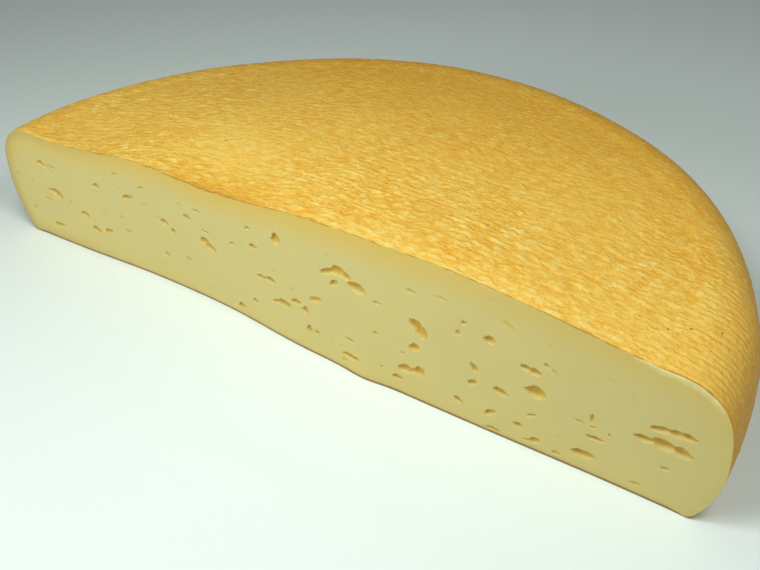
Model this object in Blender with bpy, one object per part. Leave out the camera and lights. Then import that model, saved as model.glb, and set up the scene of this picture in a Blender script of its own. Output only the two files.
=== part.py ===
"""Half of a round alpine cheese, cut straight through and lying on its flat base.

The cut faces -Y and runs along X, and the rind bulges towards +Y. The shape is worked out round the
axis of the whole wheel, and then set so that the origin is the middle of its box, on the base.
Lengths are in metres, and +Z is up.
"""

import bpy
import bmesh
from math import atan2, cos, exp, hypot, pi, radians, sin, sqrt
from mathutils import Matrix, Vector, noise

MM = 0.001

# The wheel
WHEEL_RADIUS = 160 * MM  # at the fullest part of the side
FOOT_RADIUS = 151 * MM  # where the side meets the base
TOP_RADIUS = 136 * MM  # where the rounded shoulder runs into the top
BELLY_HEIGHT = 27.5 * MM  # of the fullest part of the side
SHOULDER_HEIGHT = 52 * MM  # where the rounded shoulder runs into the top
CROWN = 6.4 * MM  # rise of the top from the shoulder to the axis
LOWER_SIDE_POWER = 2.2  # how late the lower side turns in towards the foot
SHOULDER_POWER = 2.65  # 2 would be an elliptical shoulder, and more is squarer
HEIGHT = SHOULDER_HEIGHT + CROWN

# How far the wheel is from round, flat and straight
OUT_OF_ROUND = (  # lobes round the wheel, and their two parts
    (2, -0.3 * MM, -0.3 * MM),
    (3, 0.3 * MM, -0.3 * MM),
    (4, 0.5 * MM, 0.0),
    (5, 0.2 * MM, 0.1 * MM),
    (6, 0.2 * MM, -0.7 * MM),
)
STATION = 40 * MM  # between the places along the cut where the next two are given
TOP_RISE = [rise * MM for rise in (0.5, -2.3, -0.4, -2.3, 0.3, 1.8, 2.4, 1.0, 0.5)]
FOOT_BACK = [back * MM for back in (0.0, 1.1, 3.3, 2.9, -0.9, -1.9, -1.8, -1.2, -1.4)]
RISE_FADE = 30 * MM  # how far behind the cut the unevenness of the top's edge reaches
FOOT_FADE = 25 * MM  # likewise for the foot of the cut
BULGE_PLACE = 29 * MM  # along the cut, where its foot bulges out a little
BULGE_WIDTH = 9 * MM
BULGE_DEPTH = 1.3 * MM
LUMP_SIZE = 34 * MM
LUMP_HEIGHT = 0.8 * MM
LUMP_PLACE = Vector((8.7, 6.4, 1.9))  # where in the field of lumps the wheel lies

# How finely the surface is divided
HALF_TURN_STEPS = 90
BASE_RINGS = 3
LOWER_STEPS = 5
SHOULDER_STEPS = 8
TOP_RINGS = (0.9, 0.78, 0.65, 0.52, 0.38, 0.22, 0.0)  # as shares of the top's radius
MERGED = 0.001 * MM

# The holes that the cut opens, in millimetres from the axis and the base, seen from the front:
# along, up, length, height, and the tilt in degrees that lifts the right end
EYES = (
    (-136.3, 37.4, 7.0, 2.8, 28),
    (-130.2, 25.0, 7.6, 4.6, 5),
    (-104.5, 36.5, 4.2, 2.5, 10),
    (-86.8, 36.8, 7.0, 2.8, 18),
    (-115.2, 19.3, 5.0, 3.1, 0),
    (-109.8, 13.3, 5.0, 3.6, -10),
    (-102.6, 15.0, 5.0, 2.5, 20),
    (-133.8, 8.1, 6.5, 2.5, 14),
    (-68.2, 31.3, 5.0, 3.1, -10),
    (-63.8, 28.2, 3.2, 2.8, 0),
    (-54.5, 38.4, 4.5, 2.5, 0),
    (-47.0, 30.2, 4.6, 3.9, 30),
    (-44.3, 28.0, 6.2, 3.8, -15),
    (-21.2, 37.4, 4.0, 2.5, 0),
    (-9.3, 45.5, 5.0, 4.1, 20),
    (-16.5, 25.0, 9.0, 2.4, 8),
    (-9.0, 17.4, 9.5, 3.4, 8),
    (-1.5, 20.8, 6.0, 2.5, 8),
    (2.7, 18.9, 3.4, 3.4, -30),
    (-23.5, 11.4, 3.0, 2.7, 20),
    (-32.0, 5.0, 4.0, 3.4, 20),
    (13.6, 40.5, 7.0, 2.2, 28),
    (19.6, 42.2, 9.5, 3.8, -6),
    (26.1, 38.3, 7.6, 4.0, -8),
    (16.5, 36.4, 4.6, 2.4, 38),
    (7.5, 25.8, 6.0, 2.4, 18),
    (50.8, 32.4, 5.6, 4.4, -30),
    (54.0, 29.9, 5.2, 4.4, -40),
    (50.5, 23.0, 4.6, 3.6, 20),
    (47.2, 12.2, 7.0, 3.7, 12),
    (53.0, 13.4, 5.4, 4.2, 0),
    (43.8, 6.8, 4.6, 2.6, 0),
    (23.0, 14.4, 5.2, 2.2, -14),
    (4.4, 11.0, 3.2, 3.6, 10),
    (23.2, 7.2, 7.4, 2.4, -4),
    (79.2, 38.4, 4.7, 3.6, 10),
    (73.9, 25.0, 4.4, 2.7, -60),
    (73.8, 18.3, 4.2, 2.3, 28),
    (68.8, 8.6, 4.0, 2.3, -15),
    (92.2, 33.3, 3.2, 2.5, 0),
    (96.4, 32.9, 4.6, 2.9, 5),
    (97.0, 24.8, 8.2, 5.3, 0),
    (84.6, 19.3, 6.5, 3.1, -5),
    (81.0, 8.8, 5.6, 2.3, 33),
    (91.6, 8.6, 3.8, 2.4, -10),
    (98.0, 4.8, 4.6, 2.8, 25),
    (114.8, 7.8, 9.0, 3.7, 3),
    (118.5, 16.0, 6.6, 2.0, 0),
    (138.6, 30.5, 6.4, 2.4, 16),
    (143.3, 31.1, 5.0, 2.4, 5),
    (147.2, 31.8, 4.6, 2.3, 0),
    (134.4, 24.7, 6.6, 2.4, 8),
    (140.8, 25.5, 7.2, 3.7, 10),
    (146.0, 25.2, 6.2, 3.3, -5),
)
EYE_LEAST_DEPTH = 1.0 * MM
EYE_DEPTH_SHARE = 0.42  # of the geometric mean of length and height
EYE_RAGGEDNESS = 0.22
EYE_GRAIN = 0.9  # size of the raggedness, in radii of an eye

RIND_COLOUR = (0.76, 0.46, 0.10)
PASTE_COLOUR = (0.63, 0.57, 0.23)
RIND_ROUGHNESS = 0.5
PASTE_ROUGHNESS = 0.6


def clear_scene():
    for found in list(bpy.data.objects):
        bpy.data.objects.remove(found, do_unlink=True)


def material(name, colour, roughness):
    made = bpy.data.materials.new(name)
    made.use_nodes = True
    made.diffuse_color = (*colour, 1.0)
    shader = made.node_tree.nodes["Principled BSDF"]
    shader.inputs["Base Color"].default_value = (*colour, 1.0)
    shader.inputs["Roughness"].default_value = roughness
    shader.inputs["Metallic"].default_value = 0.0
    return made


def base_profile():
    """(radius, height) from the axis out to the foot."""
    return [(FOOT_RADIUS * ring / BASE_RINGS, 0.0) for ring in range(BASE_RINGS + 1)]


def side_profile():
    """(radius, height) from above the foot, over the belly and round the shoulder."""
    points = []
    for step in range(1, LOWER_STEPS + 1):
        drop = 1 - step / LOWER_STEPS
        tuck = (WHEEL_RADIUS - FOOT_RADIUS) * drop**LOWER_SIDE_POWER
        points.append((WHEEL_RADIUS - tuck, BELLY_HEIGHT * (1 - drop)))
    for step in range(1, SHOULDER_STEPS + 1):
        turn = 0.5 * pi * step / SHOULDER_STEPS
        out = max(cos(turn), 0.0) ** (2 / SHOULDER_POWER)
        up = sin(turn) ** (2 / SHOULDER_POWER)
        radius = TOP_RADIUS + (WHEEL_RADIUS - TOP_RADIUS) * out
        points.append((radius, BELLY_HEIGHT + (SHOULDER_HEIGHT - BELLY_HEIGHT) * up))
    return points


def top_profile():
    """(radius, height) over the crowned top to the axis."""
    return [(TOP_RADIUS * out, SHOULDER_HEIGHT + CROWN * (1 - out**2)) for out in TOP_RINGS]


def along_the_cut(values, x):
    """A smooth line through the values, which are one station apart and centred on the axis."""
    place = x / STATION + (len(values) - 1) / 2
    place = min(max(place, 0.0), len(values) - 1.0)
    first = min(int(place), len(values) - 2)
    share = place - first
    before, after = values[max(first - 1, 0)], values[min(first + 2, len(values) - 1)]
    start, end = values[first], values[first + 1]
    bend = 2 * before - 5 * start + 4 * end - after
    twist = 3 * (start - end) + after - before
    return start + 0.5 * share * (end - before + share * (bend + share * twist))


def foot_share(z):
    return 1 - min(max(z / HEIGHT, 0.0), 1.0)


def cut_back(x, z):
    """How far the cut's surface lies behind its plane."""
    bulge = BULGE_DEPTH * exp(-(((x - BULGE_PLACE) / BULGE_WIDTH) ** 2)) * foot_share(z) ** 4
    return along_the_cut(FOOT_BACK, x) * foot_share(z) - bulge


def uneven(point):
    """Moves a point of the perfect half wheel to where the real one has it."""
    x, y, z = point
    radius = hypot(x, y)
    angle = atan2(y, x)
    body = 1 - foot_share(z)
    rim = (radius / WHEEL_RADIUS) ** 4
    lump = LUMP_HEIGHT * noise.noise(Vector(point) / LUMP_SIZE + LUMP_PLACE)
    swell = sum(c * cos(lobes * angle) + s * sin(lobes * angle) for lobes, c, s in OUT_OF_ROUND)
    grown = 1 + (swell * radius / WHEEL_RADIUS + lump * rim) / max(radius, MERGED)
    rise = along_the_cut(TOP_RISE, x) * exp(-((y / RISE_FADE) ** 2))
    back = cut_back(x, z) * exp(-((y / FOOT_FADE) ** 2))
    return Vector((x * grown, y * grown + back, z + body * (rise + lump * (1 - rim))))


def flat_half_wheel():
    """The perfect half wheel, with the cut divided so that it can be uneven too."""
    side = side_profile()
    profile = base_profile() + side + top_profile()
    bm = bmesh.new()
    rim = [bm.verts.new((radius, 0.0, height)) for radius, height in profile]
    edges = [bm.edges.new(pair) for pair in zip(rim, rim[1:])]
    bmesh.ops.spin(
        bm, geom=rim + edges, axis=(0, 0, 1), cent=(0, 0, 0), angle=pi, steps=HALF_TURN_STEPS
    )
    bmesh.ops.remove_doubles(bm, verts=bm.verts, dist=MERGED)
    outline = [edge for edge in bm.edges if edge.is_boundary]
    bmesh.ops.holes_fill(bm, edges=outline, sides=0)
    planes = [((0, 0, height), (0, 0, 1)) for _, height in side]
    for share in TOP_RINGS:
        for across in {share, -share}:
            planes.append(((TOP_RADIUS * across, 0, 0), (1, 0, 0)))
    planes.sort()
    for place, normal in planes:
        cut = [face for face in bm.faces if all(abs(v.co.y) < MERGED for v in face.verts)]
        near = {part for face in cut for part in (*face.edges, *face.verts)}
        bmesh.ops.bisect_plane(
            bm, geom=cut + list(near), dist=MERGED, plane_co=place, plane_no=normal
        )
    return bm


def half_wheel(rind, paste):
    """The half wheel as an object, and the move that puts its box's foot on the origin."""
    bm = flat_half_wheel()
    bmesh.ops.recalc_face_normals(bm, faces=bm.faces)
    for face in bm.faces:
        on_cut = all(abs(v.co.y) < MERGED for v in face.verts)
        face.material_index = 1 if on_cut else 0
        face.smooth = True
    for vert in bm.verts:
        vert.co = uneven(vert.co)
    bmesh.ops.triangulate(bm, faces=bm.faces)
    middle = [
        -0.5 * (min(v.co[axis] for v in bm.verts) + max(v.co[axis] for v in bm.verts))
        for axis in (0, 1)
    ]
    move = Matrix.Translation((*middle, 0.0))
    bm.transform(move)
    mesh = bpy.data.meshes.new("cheese_half_wheel")
    bm.to_mesh(mesh)
    bm.free()
    mesh.materials.append(rind)
    mesh.materials.append(paste)
    mesh.set_sharp_from_angle(angle=radians(45))
    made = bpy.data.objects.new("cheese_half_wheel", mesh)
    bpy.context.scene.collection.objects.link(made)
    return made, move


def add_eye(bm, x, z, length, height, tilt):
    """One ragged hollow, as a closed blob centred on the cut."""
    depth = EYE_LEAST_DEPTH + EYE_DEPTH_SHARE * sqrt(length * height)
    size = Matrix.Diagonal((0.5 * length, depth, 0.5 * height, 1.0))
    turn = Matrix.Rotation(-radians(tilt), 4, "Y")
    place = Matrix.Translation((x, cut_back(x, z), z))
    blob = bmesh.ops.create_icosphere(bm, subdivisions=2, radius=1.0)["verts"]
    for vert in blob:
        ragged = noise.noise(vert.co / EYE_GRAIN + Vector((x, 0.0, z)) / (0.5 * length))
        vert.co *= 1 + EYE_RAGGEDNESS * ragged
    bmesh.ops.transform(bm, matrix=place @ turn @ size, verts=blob)


def eye_hollows(move, rind, paste):
    """Everything that is hollow in the cut, as one hidden cutter."""
    bm = bmesh.new()
    for x, z, length, height, tilt in EYES:
        add_eye(bm, x * MM, z * MM, length * MM, height * MM, tilt)
    for face in bm.faces:
        face.material_index = 1
        face.smooth = True
    bm.transform(move)
    mesh = bpy.data.meshes.new("eye_hollows")
    bm.to_mesh(mesh)
    bm.free()
    mesh.materials.append(rind)
    mesh.materials.append(paste)
    made = bpy.data.objects.new("eye_hollows", mesh)
    made.hide_render = True
    made.display_type = "WIRE"
    bpy.context.scene.collection.objects.link(made)
    return made


def main():
    clear_scene()
    rind = material("rind", RIND_COLOUR, RIND_ROUGHNESS)
    paste = material("paste", PASTE_COLOUR, PASTE_ROUGHNESS)
    cheese, move = half_wheel(rind, paste)
    cut = cheese.modifiers.new("eyes", "BOOLEAN")
    cut.operation = "DIFFERENCE"
    cut.solver = "EXACT"
    cut.use_self = True
    cut.object = eye_hollows(move, rind, paste)


main()
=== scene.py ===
from collections import namedtuple
from math import atan2, ceil, cos, exp, floor, hypot, pi, radians, sin, sqrt

import bmesh
import bpy
import numpy as np
from mathutils import Matrix, Vector, noise
from mathutils.geometry import delaunay_2d_cdt


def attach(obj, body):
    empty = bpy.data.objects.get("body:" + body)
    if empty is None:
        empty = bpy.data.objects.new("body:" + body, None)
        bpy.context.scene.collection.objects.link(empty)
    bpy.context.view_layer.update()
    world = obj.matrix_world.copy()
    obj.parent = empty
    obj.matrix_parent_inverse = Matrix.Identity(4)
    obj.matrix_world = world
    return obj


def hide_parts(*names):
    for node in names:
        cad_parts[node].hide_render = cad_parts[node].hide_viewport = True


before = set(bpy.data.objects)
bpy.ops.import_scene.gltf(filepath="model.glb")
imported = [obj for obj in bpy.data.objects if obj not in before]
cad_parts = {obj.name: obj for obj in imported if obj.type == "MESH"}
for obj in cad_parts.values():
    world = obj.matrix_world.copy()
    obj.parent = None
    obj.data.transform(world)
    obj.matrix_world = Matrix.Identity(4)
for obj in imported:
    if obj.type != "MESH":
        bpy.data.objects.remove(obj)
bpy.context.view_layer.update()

# The looks of half an alpine cheese: a cloth-marked rind, and a cut face with its eyes. Shapes are worked
# out in millimetres from the wheel's axis and its base, with the cut along X and facing -Y, and become
# metres in the frame of the solid when a mesh is made. A constant in a noise's place keeps noises apart.

MM = 0.001
WHEEL_AXIS = Vector((-0.312, -78.729, 0.0))  # where the axis stands in the frame
BODY = "root"
NODE = "cheese_half_wheel"
NOISE_SEED = 6  # without one, vector noise starts from the clock
LEAST = 0.001  # keeps divisors off zero

# The wheel, as the solid has it
WHEEL_RADIUS = 160.0  # at the fullest part of the side
FOOT_RADIUS = 151.0
TOP_RADIUS = 136.0  # where the rounded shoulder runs into the top
BELLY_HEIGHT = 27.5  # of the fullest part of the side
SHOULDER_HEIGHT = 52.0
CROWN = 6.4
LOWER_SIDE_POWER = 2.2
SHOULDER_POWER = 2.65
HEIGHT = SHOULDER_HEIGHT + CROWN
FOOT_ROUNDING = 1.6
TOP_POINTS, SHOULDER_POINTS, SIDE_POINTS, FOOT_POINTS = 150, 300, 100, 12  # of the profile
NORMAL_REACH = 0.8  # to either side of where the profile's direction is measured
OUT_OF_ROUND = (  # lobes, and how far they swell towards +X and a quarter lobe on
    (2, -0.3, -0.3),
    (3, 0.3, -0.3),
    (4, 0.5, 0.0),
    (5, 0.2, 0.1),
    (6, 0.2, -0.7),
)
STATION = 40.0  # from each of the next values to the one after, along the cut
TOP_RISE = (0.5, -2.3, -0.4, -2.3, 0.3, 1.8, 2.4, 1.0, 0.5)  # of the top edge over an even one
FOOT_BACK = (0.0, 1.1, 3.3, 2.9, -0.9, -1.9, -1.8, -1.2, -1.4)  # how far back the cut's foot lies
RISE_FADE = 30.0  # behind the cut
FOOT_FADE = 25.0
BULGE_PLACE = 29.0  # of a small bulge in the cut's foot
BULGE_WIDTH = 9.0
BULGE_DEPTH = 1.3
LUMP_SIZE = 34.0
LUMP_HEIGHT = 0.8
LUMP_PLACE = Vector((8.7, 6.4, 1.9))

# The cheese cloth in the rind. (a, b) is a point of the cloth before it drifted to its place (x, y).
ROW = 2.95  # from one row of marks to the next
MARK = 3.2  # from one mark to the next in its row
STEPS_ACROSS_ROW = 4
ALONG_STEP = 0.98  # between points along a row
WIDE_DRIFT = 3.0  # how far the cloth's threads lie from straight
WIDE_DRIFT_SIZE = 34.0
NEAR_DRIFT = 1.3
NEAR_DRIFT_SIZE = 9.0
FINE_DRIFT = 1.5
FINE_DRIFT_SIZE = 3.0
LEAN = 0.36  # of the rows at the left end, as a slope
LEAN_FROM = -50.0
LEAN_EASE = 20.0
CLOTH_ROUNDS = 14
DRIFT_MARGIN = 12.0  # by which the cloth is wider than the rind
LEAN_MARGIN = 80.0
ROWS_BEFORE_CUT = 12  # of points, in front of the cut's line
MARK_SHIFT = 0.35  # of a row of marks along itself, at most
MARK_STRENGTH = (0.45, 0.55)  # the least, and how much more a mark may have
MARK_GAP = (0.7, 0.3)  # depth of the gaps between the marks of a row, likewise
CLEAN_FROM = (126.0, 150.0)  # where the marks turn to the clean weave of the right end
CLEAN_STEADINESS = 0.45  # how much less the rows drift there
CLEAN_SMOOTHNESS = 0.6  # how much less rough the rind is there
CLEAN_TWIST = 0.7  # of a mark across its row
CLEAN_STRENGTH = 0.65
CLEAN_LIKENESS = 0.7  # how far the marks have that strength
CLEAN_GAP = 0.85

# How strongly the cloth has marked the rind. A patch is how much, then a place and half width for x and y.
MARKED = 0.72
MARKED_SPREAD = 0.45
MARKED_SIZE = 30.0
LEAST_MARKED = 0.12
MOST_MARKED = 1.1
STRONGER_PATCH = (0.3, 15.0, 45.0, 12.0, 30.0)
STRONGER_RIGHT = (95.0, 140.0, 0.15)  # from where to where along x, and how much
RUBBED_PATCH = (0.55, -40.0, 28.0, 30.0, 18.0)
FAINTER_BEHIND = (45.0, 100.0, 0.36)  # along y
FAINTER_SIDE = (175.0, 200.0, 0.3)  # along the way from the middle of the top

# The rind's height, from 0 to 1, and its pigment
RELIEF = 0.47  # how deep height 0 lies under height 1
LEAST_INWARD = 0.03  # how far height 1 lies inside the wheel
MEAN_HEIGHT = 0.55
MARK_HEIGHT = 0.85
WRINKLE_SIZE = (3.4, 2.2)  # along and across the rows
WRINKLE_SHARE = 0.1
WRINKLE_OF_MARKED = 0.3  # how much more where the cloth has marked the rind
LUMPS_SIZE = 4.2
LUMPS_SHARE = 0.12
GRAIN_SIZE = 1.5
GRAIN_SHARE = 0.2
SHOULDER_RISE = (140.0, 160.0, 0.16)  # along the way from the middle of the top
END_SMOOTHNESS = 0.85  # of the rind next to the two ends of the cut
END_FROM = (132.0, 150.0)
MEAN_PIGMENT = 0.5
PIGMENT_OF_HEIGHT = 0.65
STREAK_SIZE = (4.5, 2.4)
STREAK_SHARE = 0.32
# A paler band of rind behind the cut: partly painted light where the rind catches more of it, partly a
# drier, paler rind
LIT_PALE_EDGE = (2.5, 4.0)  # place and half width behind the cut
LIT_PALE_EDGE_STRETCH = (-20.0, 15.0, 100.0, 125.0)  # from where to where it sets in, and then fades out
LIT_PALE_EDGE_STRENGTH = 0.2
DARK_PATCH = (0.5, -32.0, 21.0, 0.0, 8.0)

# The cut
CUT_DEPTH = 9.0  # how far behind the cut the paste is its own piece
BACK_INSET = 3.0  # how much smaller that piece is at its back
RIND_INSET = 1.1  # how much of the cut's rim belongs to the rind
BODY_OVERLAP = 0.25
FACE_WAVE = 0.12  # how far the paste's surface swells
FACE_WAVE_SIZE = 14.0
FACE_GRAIN = 0.03
FACE_GRAIN_SIZE = 1.6
FACE_WAVE_FADE = 3.0  # from the outline to where it swells fully
EDGE_STEP = 0.95  # between points round the outline
BASE_STEP = 4.0
FACE_STEP = 0.85
FACE_LOWEST = 0.4  # height of the lowest row of points
EYE_STEP = 0.3
INSIDE_ONLY = 1  # a kind of triangulation
SAME_POINT = 1e-6
SHARP_ANGLE = radians(62)

# The cut's edge, by its way to the right from the middle of the top, or by x
Edge = namedtuple("Edge", "down back cut_reach rind_reach lip", defaults=(0.0,) * 5)
EVERYWHERE = Edge(cut_reach=0.9, rind_reach=0.9)
ABOVE_FOOT = Edge(down=0.06, back=0.06)
WORN = Edge(down=0.3, back=0.3, cut_reach=2.4, rind_reach=2.6)
WORN_SIDE = Edge(back=0.1, cut_reach=3.6, rind_reach=1.4)
TORN = Edge(down=0.15, back=0.45, cut_reach=1.6, rind_reach=1.4, lip=1.0)
BASE_EDGE = Edge(down=0.5, back=0.3, cut_reach=1.5)
ABOVE_FOOT_FROM = (2.0, 16.0)  # way up from the foot
WORN_STRETCH = (-168.0, -150.0, -130.0, -108.0)
WORN_SIDE_FROM = (-138.0, -160.0)
TORN_STRETCH = (120.0, 136.0, 152.0, 166.0)
BASE_EASE = 5.0  # from the corners of the cut to where its lower edge is fully worn
LIP_WIDTH = 2.6

# The dark line on that edge, which along the base is partly painted contact shadow
LINE_REACH = 0.4  # to either side
BASE_LINE_AND_SHADOW = 0.35  # how much wider it is along the base
BASE_LINE_TOP = 1.0  # up to which height the line is that of the base
TOP_LINE = (0.65, 0.9, 3.2)  # darkness, how much it varies, and over which length
# how dark the line along the base is: partly the rind's dark edge, partly painted contact shadow where the
# cut meets the floor
LOW_LINE_AND_SHADOW = (3.4, 0.9, 5.0)
LEFT_FADE = (-112.0, -142.0)
RIGHT_FADE = (150.0, 156.0, 0.7)
LIP_LINE = 0.5  # how much darker the line is along the lip
CREASE = (109.0, 13.0)  # place and half width of the deep crease along the top of the cut, darkened with painted shade
# how dark the painted shade in the crease is
CREASE_SHADE = 0.5
CREASE_SHADE_ON_LINE = 0.5  # how much of that the line itself has
CREASE_SHADE_REACH = 1.7  # of the crease onto the rind
DARK_EDGE = (-40.0, 42.0)  # place and half width of the darkened stretch of the rind's edge
DARK_EDGE_STRENGTH = 0.45
DARK_EDGE_REACH = 3.2
FLECKS = ((-78.0, 2.0), (-57.0, 1.6), (-28.5, 3.5), (-20.0, 1.6), (0.0, 1.6), (42.3, 5.5))  # x and length
FLECK_DARKNESS = 5.0
ON_THE_EDGE = 0.5  # how much of a point belongs to the cut, where the rind has 0
ON_THE_CUT = 1.0

noise.seed_set(NOISE_SEED)


def eased(value, low, high, most=1.0):
    """0 up to low and the most from high on, with a smooth rise between them. High may be the lower one."""
    share = min(max((value - low) / (high - low), 0.0), 1.0)
    return most * (share * share * (3 - 2 * share))


def stretch(value, start, full, fading, end):
    """1 from full to fading, and 0 outside start and end."""
    return eased(value, start, full) * eased(value, end, fading)


def hump(value, middle, width):
    return exp(-(((value - middle) / width) ** 2))


def patch(x, y, strength, middle_x, width_x, middle_y, width_y):
    return strength * hump(x, middle_x, width_x) * hump(y, middle_y, width_y)


# ---- the wheel
def side_profile():
    """(radius, height) from the axis over the top, round the shoulder and down to the foot."""
    points = []
    for out in np.linspace(0, 1, TOP_POINTS):
        points.append((TOP_RADIUS * out, SHOULDER_HEIGHT + CROWN * (1 - out**2)))
    for turn in np.linspace(pi / 2, 0, SHOULDER_POINTS)[1:]:
        out = (WHEEL_RADIUS - TOP_RADIUS) * max(cos(turn), 0.0) ** (2 / SHOULDER_POWER)
        up = (SHOULDER_HEIGHT - BELLY_HEIGHT) * sin(turn) ** (2 / SHOULDER_POWER)
        points.append((TOP_RADIUS + out, BELLY_HEIGHT + up))
    lowest = FOOT_ROUNDING / BELLY_HEIGHT
    for drop in np.linspace(0, 1 - lowest, SIDE_POINTS)[1:]:
        tuck = (WHEEL_RADIUS - FOOT_RADIUS) * drop**LOWER_SIDE_POWER
        points.append((WHEEL_RADIUS - tuck, BELLY_HEIGHT * (1 - drop)))
    start, corner, end = points[-1], (FOOT_RADIUS, 0.0), (FOOT_RADIUS - FOOT_ROUNDING, 0.0)
    for share in np.linspace(0, 1, FOOT_POINTS)[1:]:
        weights = ((1 - share) ** 2, 2 * share * (1 - share), share**2)
        points.append(
            tuple(sum(w * p[k] for w, p in zip(weights, (start, corner, end))) for k in (0, 1))
        )
    return np.array(points)


PROFILE = side_profile()
PROFILE_STEPS = np.hypot(*np.diff(PROFILE, axis=0).T)
PROFILE_ARC = np.concatenate(([0.0], np.cumsum(PROFILE_STEPS)))
SIDE_END = float(PROFILE_ARC[-1])
BASE_RADIUS = float(PROFILE[-1][0])
LINE_ARCS = [float(arc) for arc in np.linspace(SIDE_END, -SIDE_END, 2 * ceil(SIDE_END / EDGE_STEP) + 1)]
LINE_COUNT = len(LINE_ARCS)


def on_profile(arc):
    """(radius, height) at an arc's length from the middle of the top."""
    return (
        float(np.interp(arc, PROFILE_ARC, PROFILE[:, 0])),
        float(np.interp(arc, PROFILE_ARC, PROFILE[:, 1])),
    )


def profile_normal(arc):
    """The outward direction of the profile, as its parts along the radius and up."""
    r0, z0 = on_profile(max(arc - NORMAL_REACH, 0.0))
    r1, z1 = on_profile(min(arc + NORMAL_REACH, SIDE_END))
    along = hypot(r1 - r0, z1 - z0)
    return (z0 - z1) / along, (r1 - r0) / along


def along_the_cut(values, x):
    """A smooth line through the values, which are one station apart and centred on the axis."""
    place = x / STATION + (len(values) - 1) / 2
    place = min(max(place, 0.0), len(values) - 1.0)
    first = min(int(place), len(values) - 2)
    share = place - first
    before, after = values[max(first - 1, 0)], values[min(first + 2, len(values) - 1)]
    start, end = values[first], values[first + 1]
    bend = 2 * before - 5 * start + 4 * end - after
    twist = 3 * (start - end) + after - before
    return start + 0.5 * share * (end - before + share * (bend + share * twist))


def foot_share(z):
    """1 at the foot and 0 at the top."""
    return 1 - min(max(z / HEIGHT, 0.0), 1.0)


def cut_back(x, z):
    """How far the cut's surface lies behind its plane."""
    bulge = BULGE_DEPTH * hump(x, BULGE_PLACE, BULGE_WIDTH) * foot_share(z) ** 4
    return along_the_cut(FOOT_BACK, x) * foot_share(z) - bulge


def uneven(x, y, z):
    """Moves a point of the perfect half wheel to where the real one has it."""
    radius = hypot(x, y)
    angle = atan2(y, x)
    body = 1 - foot_share(z)
    rim = (radius / WHEEL_RADIUS) ** 4
    lump = LUMP_HEIGHT * noise.noise(Vector((x, y, z)) / LUMP_SIZE + LUMP_PLACE)
    swell = sum(c * cos(lobes * angle) + s * sin(lobes * angle) for lobes, c, s in OUT_OF_ROUND)
    grown = 1 + (swell * radius / WHEEL_RADIUS + lump * rim) / max(radius, LEAST)
    rise = along_the_cut(TOP_RISE, x) * hump(y, 0.0, RISE_FADE)
    back = cut_back(x, z) * hump(y, 0.0, FOOT_FADE)
    return Vector((x * grown, y * grown + back, z + body * (rise + lump * (1 - rim))))


# ---- the edge of the cut
def edge_shape(arc):
    """How the cut's edge is worn, at an arc's length to the right of the middle of the top.

    It gives how far the edge lies in from the outline and back from the cut, over which length the cut
    and the rind bend towards it, and how much of a pale torn lip it has.
    """
    foot = eased(abs(arc), *(SIDE_END - way for way in ABOVE_FOOT_FROM))
    shares = (
        (1.0, EVERYWHERE),
        (foot, ABOVE_FOOT),
        (stretch(arc, *WORN_STRETCH), WORN),
        (eased(arc, *WORN_SIDE_FROM) * foot, WORN_SIDE),
        (stretch(arc, *TORN_STRETCH), TORN),
    )
    return Edge(*(sum(share * part[k] for share, part in shares) for k in range(len(Edge._fields))))


def edge_bend(edge, inset):
    """How far back the cut's surface bends at this distance inside the outline."""
    return edge.back * max(1 - max(inset - edge.down, 0.0) / edge.cut_reach, 0.0) ** 2


def lip_share(edge, inset):
    """How much of the torn lip the cut has at this distance inside the outline."""
    return edge.lip * max(1 - max(inset - edge.down, 0.0) / LIP_WIDTH, 0.0) ** 0.5


# ---- rind
def cloth_drift(a, b):
    """How far the cloth lies from where straight threads would put its point (a, b)."""
    wide = WIDE_DRIFT * noise.noise_vector(Vector((a, b, 0.0)) / WIDE_DRIFT_SIZE)
    near = NEAR_DRIFT * noise.noise_vector(Vector((a, b, 40.0)) / NEAR_DRIFT_SIZE)
    left = a - LEAN_FROM
    lean = -0.5 * LEAN * (hypot(left, LEAN_EASE) - left)
    return wide.x + near.x, wide.y + near.y + lean


def cloth_place(x, y):
    """The cloth's point that lies at (x, y)."""
    a, b = x, y
    for _ in range(CLOTH_ROUNDS):
        shift = cloth_drift(a, b)
        a, b = 0.5 * (a + x - shift[0]), 0.5 * (b + y - shift[1])
    return a, b


def rows(a, b, clean):
    """Where the cloth's point (a, b) lies along and across the rows, in marks and in rows."""
    drift = FINE_DRIFT * (1 - CLEAN_STEADINESS * clean)
    fine = drift * noise.noise_vector(Vector((a, b, 80.0)) / FINE_DRIFT_SIZE)
    return (a + fine.x) / MARK, (b + fine.y) / ROW


def varied(spread, mark, row, layer):
    """A value of one mark's own."""
    least, more = spread
    return least + more * noise.cell(Vector((mark + 0.5, row + 0.5, layer)))


def mark_height(along, across, clean):
    """Height of the cloth's marks, from 0 in a groove to 1."""
    row = floor(across)
    place = along + 0.5 * (row % 2) + MARK_SHIFT * noise.cell(Vector((row + 0.5, 4.5, 0.5)))
    place += CLEAN_TWIST * clean * (across - row)
    mark = floor(place)
    strength = varied(MARK_STRENGTH, mark, row, 0.5)
    strength += clean * (CLEAN_STRENGTH - strength) * CLEAN_LIKENESS
    gap = varied(MARK_GAP, mark, row, 9.5)
    gap += clean * (CLEAN_GAP - gap)
    along, across = abs(2 * (place - mark) - 1), abs(2 * (across - row) - 1)
    return (1 - across**3) * (1 - gap * along**3) * strength


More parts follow.
